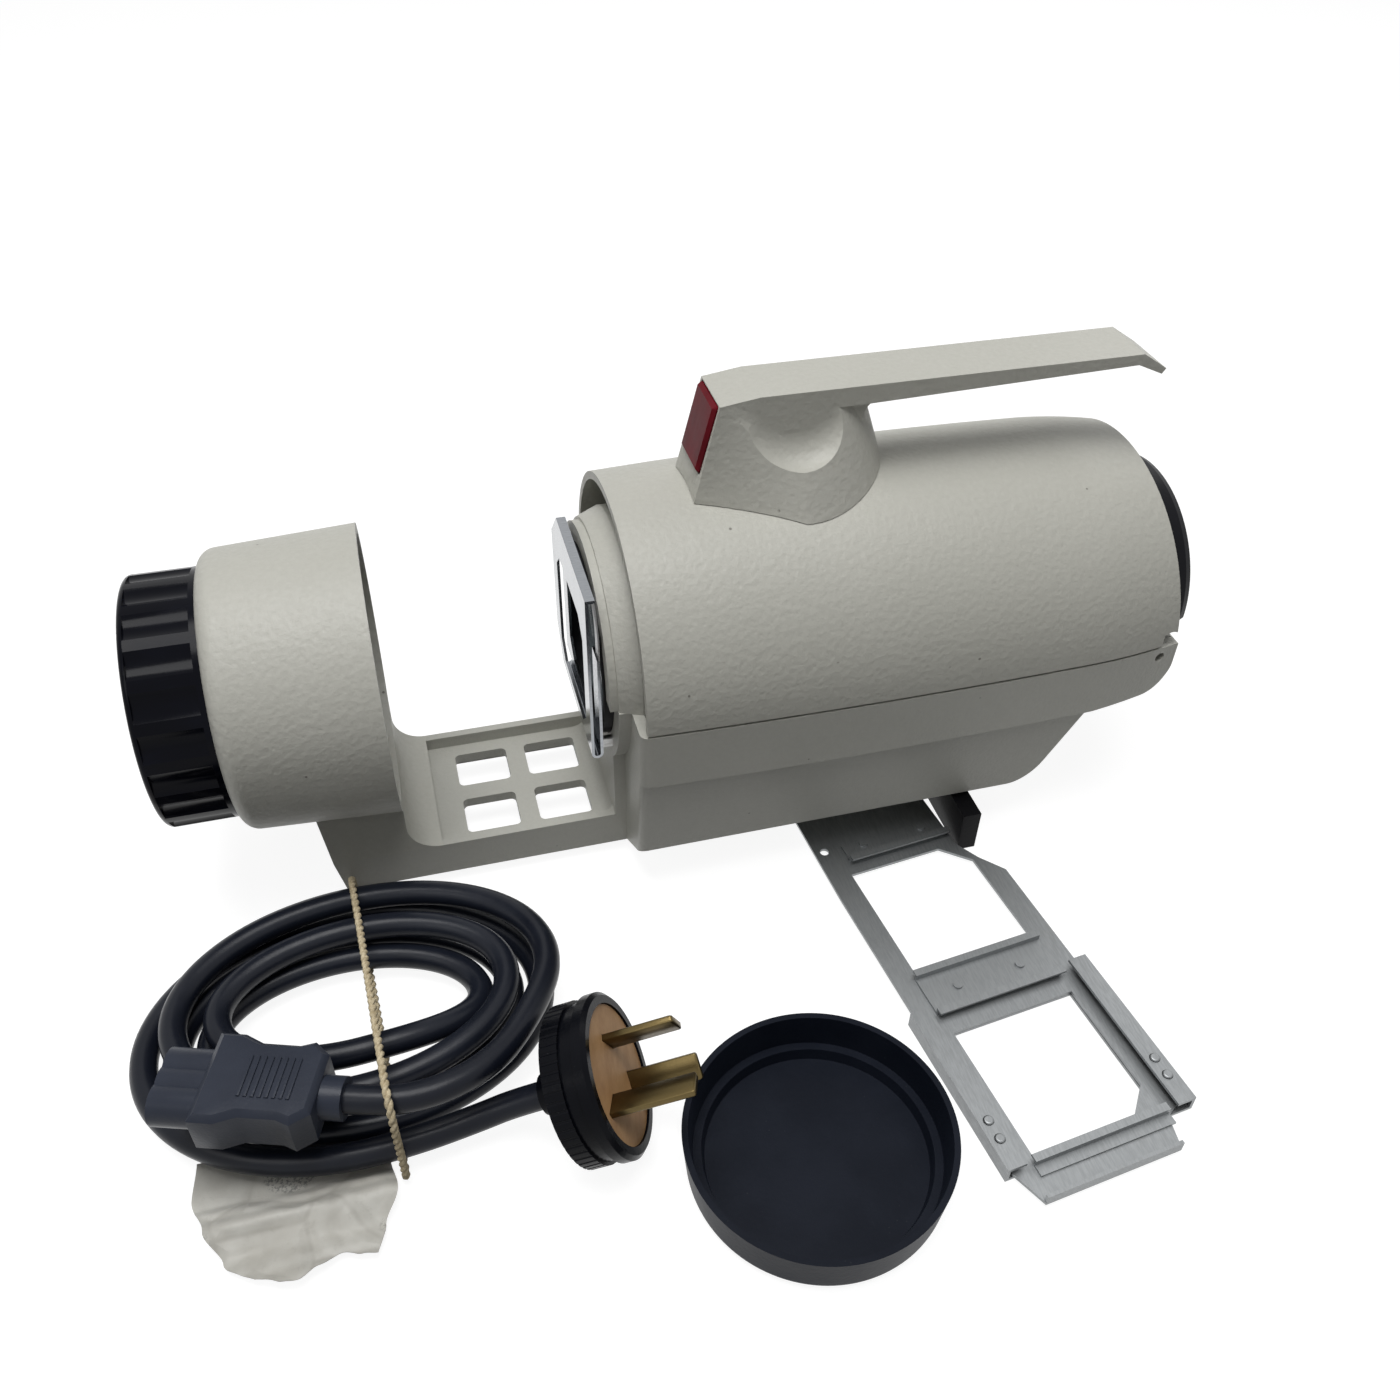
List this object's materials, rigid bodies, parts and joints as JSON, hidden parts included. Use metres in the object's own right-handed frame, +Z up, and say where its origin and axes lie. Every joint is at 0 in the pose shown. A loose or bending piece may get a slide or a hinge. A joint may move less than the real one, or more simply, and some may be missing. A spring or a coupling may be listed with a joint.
{
  "type": "slide projector",
  "caption": "Small slide projector with a hinged lamp house under a swept handle, a focusing lens in a front collar, a sliding slide changer, a lens cap and a tied mains lead",
  "frame": {"origin": "middle of the rear foot underside, on the table plane and under the optical axis", "axes": "+Z up; +X along the optical axis from the lens to the fan end; +Y away from the side that carries the lens cap and the slide changer"},
  "size_m": [0.3024, 0.2158, 0.1357],
  "materials": {
    "housing_grey": "fine textured enamel",
    "gloss_black": "polished",
    "black_anodised": "matt black",
    "lens_glass": "polished",
    "heat_glass": "polished, green tinted",
    "lamp_glass": "clear",
    "zinc_steel": "zinc plated",
    "chromed_steel": "polished",
    "spring_steel": "bright",
    "red_plastic": "moulded",
    "black_sheet": "matt black",
    "black_plastic": "moulded",
    "black_rubber": "moulded",
    "ceramic": "glazed ceramic",
    "brass": "dull",
    "mirror": "silvered",
    "raw_aluminium": "mill finish",
    "satin_aluminium": "satin",
    "cap_plastic": "matt moulded",
    "plug_plastic": "moulded",
    "cord_sheath": "matt sheath",
    "paper_board": "pressed board",
    "twine": "twisted",
    "paper": "uncoated paper"
  },
  "bodies": {
    "base": {"lens_mount": "housing_grey", "lens_guide": "black_anodised", "base_casting": "housing_grey", "hinge_brackets": "zinc_steel", "hinge_pins": "zinc_steel", "catch_keeper": "zinc_steel", "slide_gate": "chromed_steel", "gate_posts": "zinc_steel", "gate_spring": "spring_steel", "condenser_hood": "black_sheet", "condenser_barrel": "black_anodised", "front_condenser": "lens_glass", "rear_condenser": "lens_glass", "heat_glass": "heat_glass", "lamp_socket": "ceramic", "lamp_cap": "brass", "lamp_bulb": "lamp_glass", "reflector": "mirror", "reflector_bracket": "zinc_steel", "lamp_deck": "raw_aluminium", "heat_baffle": "raw_aluminium", "fan_cowl": "black_plastic", "motor_bracket": "zinc_steel", "fan_motor": "zinc_steel", "cowl_screws": "zinc_steel", "rear_foot": "black_sheet", "foot_screws": "zinc_steel", "front_pads": "black_rubber", "mount_screws": "zinc_steel", "mains_inlet": "black_plastic", "inlet_pins": "chromed_steel", "switch_body": "black_plastic", "changer_frame": "satin_aluminium", "changer_rivets": "satin_aluminium", "changer_springs": "spring_steel", "lens_cap": "cap_plastic", "cord_coil": "cord_sheath", "cord_to_plug": "cord_sheath", "cord_to_connector": "cord_sheath", "plug_body": "plug_plastic", "plug_face": "paper_board", "plug_blades": "brass", "connector": "cap_plastic", "twine_tie": "twine", "paper_tag": "paper"},
    "cover": {"lamp_cover": "housing_grey", "handle": "housing_grey", "handle_screws": "zinc_steel"},
    "button": {"release_button": "red_plastic", "cover_catch": "zinc_steel"},
    "focus": {"focus_ring": "gloss_black"},
    "lens_barrel": {"lens_tube": "black_anodised", "front_lens": "lens_glass", "rear_lens": "lens_glass", "lens_retainer": "black_anodised"},
    "fan": {"fan_wheel": "raw_aluminium"},
    "rocker": {"switch_rocker": "black_plastic"},
    "carriage": {"changer_carriage": "satin_aluminium", "changer_rails": "satin_aluminium", "rail_rivets": "satin_aluminium"}
  },
  "joints": [
    {"name": "cover_hinge", "type": "hinge", "parent": "base", "child": "cover", "pos_m": [0.0542, 0, 0.063], "axis": [0, 1, 0], "range_deg": [0, 75]},
    {"name": "button_press", "type": "slide", "parent": "cover", "child": "button", "axis": [0.97, 0, -0.243], "range_m": [0, 0.0025], "stiffness_N_per_m": 600, "springref_m": -0.001},
    {"name": "focus_turn", "type": "hinge", "parent": "base", "child": "focus", "pos_m": [-0.21, 0, 0.063], "axis": [1, 0, 0], "range_deg": [0, 270]},
    {"name": "lens_slide", "type": "slide", "parent": "base", "child": "lens_barrel", "axis": [1, 0, 0], "range_m": [0, 0.007]},
    {"name": "fan_spin", "type": "hinge", "parent": "base", "child": "fan", "pos_m": [0.008, 0, 0.063], "axis": [1, 0, 0], "continuous": true},
    {"name": "rocker_tilt", "type": "hinge", "parent": "base", "child": "rocker", "pos_m": [-0.064, 0.0437, 0.03], "axis": [0, 0, 1], "range_deg": [-8, 8]},
    {"name": "carriage_slide", "type": "slide", "parent": "base", "child": "carriage", "axis": [0.1149, -0.9934, 0], "range_m": [0, 0.0584]}
  ],
  "couplings": [
    {"joint": "lens_slide", "follows": "focus_turn", "m_per_rad": 0.0014854}
  ]
}
